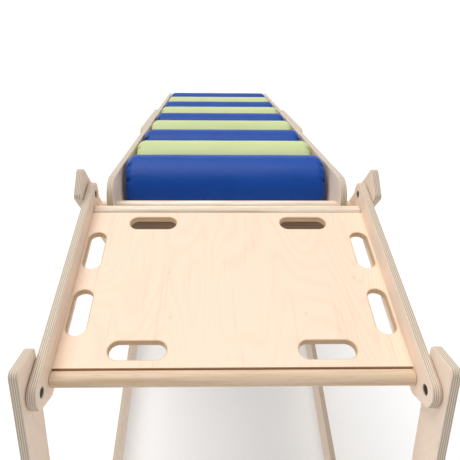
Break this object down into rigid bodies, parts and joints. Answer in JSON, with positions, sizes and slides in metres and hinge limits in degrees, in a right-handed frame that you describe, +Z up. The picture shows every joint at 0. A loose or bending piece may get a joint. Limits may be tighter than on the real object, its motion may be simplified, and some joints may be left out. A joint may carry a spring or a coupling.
{
  "type": "roller seesaw",
  "caption": "Plywood seesaw track of padded rollers on a middle trestle, with a boarding platform with hand slots and climbing steps at its raised end.",
  "frame": {"origin": "on the floor, at the middle of the object's outer box", "axes": "+Z up, +Y from the climbing steps and platform towards the lower end of the track, +X to the right when facing along +Y"},
  "size_m": [0.814, 3.1452, 1.0322],
  "materials": {
    "birch_plywood": "satin",
    "beech": "satin",
    "zinc_steel": "satin",
    "black_steel": "satin",
    "black_rubber": "matte",
    "black_plastic": "matte",
    "ivory_nylon": "satin",
    "grey_tube": "matte",
    "blue_vinyl": "satin",
    "green_vinyl": "satin"
  },
  "bodies": {
    "stand": {"deck_board": "birch_plywood", "deck_batten": "beech", "side_rail_left": "birch_plywood", "side_rail_right": "birch_plywood", "front_bar": "beech", "rear_bar": "beech", "leg_front_left": "birch_plywood", "leg_front_right": "birch_plywood", "leg_rear_left": "birch_plywood", "leg_rear_right": "birch_plywood", "leg_bolts": "black_steel", "leg_washers": "zinc_steel", "leg_cap_nuts": "zinc_steel", "climbing_steps": "beech", "wood_screws": "zinc_steel", "base_panel_left": "birch_plywood", "base_panel_right": "birch_plywood", "base_crossbars": "beech", "base_bolts": "zinc_steel", "rubber_feet": "black_rubber", "pivot_tube": "zinc_steel", "pivot_caps": "black_plastic", "pivot_spacers": "black_plastic"},
    "track": {"track_side_left": "birch_plywood", "track_side_right": "birch_plywood", "pivot_cheek_left": "birch_plywood", "pivot_cheek_right": "birch_plywood", "cheek_bolts": "zinc_steel", "pivot_bushes": "ivory_nylon", "spreader_bars": "beech", "roller_rods": "zinc_steel", "rod_nuts": "zinc_steel", "end_bumpers": "black_rubber"},
    "roller_1": {"roller_1_cover": "blue_vinyl", "roller_1_core": "grey_tube", "roller_1_plugs": "ivory_nylon"},
    "roller_2": {"roller_2_cover": "green_vinyl", "roller_2_core": "grey_tube", "roller_2_plugs": "ivory_nylon"},
    "roller_3": {"roller_3_cover": "blue_vinyl", "roller_3_core": "grey_tube", "roller_3_plugs": "ivory_nylon"},
    "roller_4": {"roller_4_cover": "green_vinyl", "roller_4_core": "grey_tube", "roller_4_plugs": "ivory_nylon"},
    "roller_5": {"roller_5_cover": "blue_vinyl", "roller_5_core": "grey_tube", "roller_5_plugs": "ivory_nylon"},
    "roller_6": {"roller_6_cover": "green_vinyl", "roller_6_core": "grey_tube", "roller_6_plugs": "ivory_nylon"},
    "roller_7": {"roller_7_cover": "blue_vinyl", "roller_7_core": "grey_tube", "roller_7_plugs": "ivory_nylon"},
    "roller_8": {"roller_8_cover": "green_vinyl", "roller_8_core": "grey_tube", "roller_8_plugs": "ivory_nylon"},
    "roller_9": {"roller_9_cover": "blue_vinyl", "roller_9_core": "grey_tube", "roller_9_plugs": "ivory_nylon"}
  },
  "joints": [
    {"name": "track_tilt", "type": "hinge", "parent": "stand", "child": "track", "pos_m": [0, 0.48384, 0.36147], "axis": [1, 0, 0], "range_deg": [0, 44]},
    {"name": "roller_1_spin", "type": "hinge", "parent": "track", "child": "roller_1", "pos_m": [0, -0.28151, 0.8163], "axis": [1, 0, 0], "continuous": true},
    {"name": "roller_2_spin", "type": "hinge", "parent": "track", "child": "roller_2", "pos_m": [0, -0.07752, 0.73388], "axis": [1, 0, 0], "continuous": true},
    {"name": "roller_3_spin", "type": "hinge", "parent": "track", "child": "roller_3", "pos_m": [0, 0.12646, 0.65147], "axis": [1, 0, 0], "continuous": true},
    {"name": "roller_4_spin", "type": "hinge", "parent": "track", "child": "roller_4", "pos_m": [0, 0.33043, 0.56906], "axis": [1, 0, 0], "continuous": true},
    {"name": "roller_5_spin", "type": "hinge", "parent": "track", "child": "roller_5", "pos_m": [0, 0.53442, 0.48664], "axis": [1, 0, 0], "continuous": true},
    {"name": "roller_6_spin", "type": "hinge", "parent": "track", "child": "roller_6", "pos_m": [0, 0.7384, 0.40423], "axis": [1, 0, 0], "continuous": true},
    {"name": "roller_7_spin", "type": "hinge", "parent": "track", "child": "roller_7", "pos_m": [0, 0.94238, 0.32182], "axis": [1, 0, 0], "continuous": true},
    {"name": "roller_8_spin", "type": "hinge", "parent": "track", "child": "roller_8", "pos_m": [0, 1.14636, 0.2394], "axis": [1, 0, 0], "continuous": true},
    {"name": "roller_9_spin", "type": "hinge", "parent": "track", "child": "roller_9", "pos_m": [0, 1.35034, 0.15699], "axis": [1, 0, 0], "continuous": true}
  ]
}
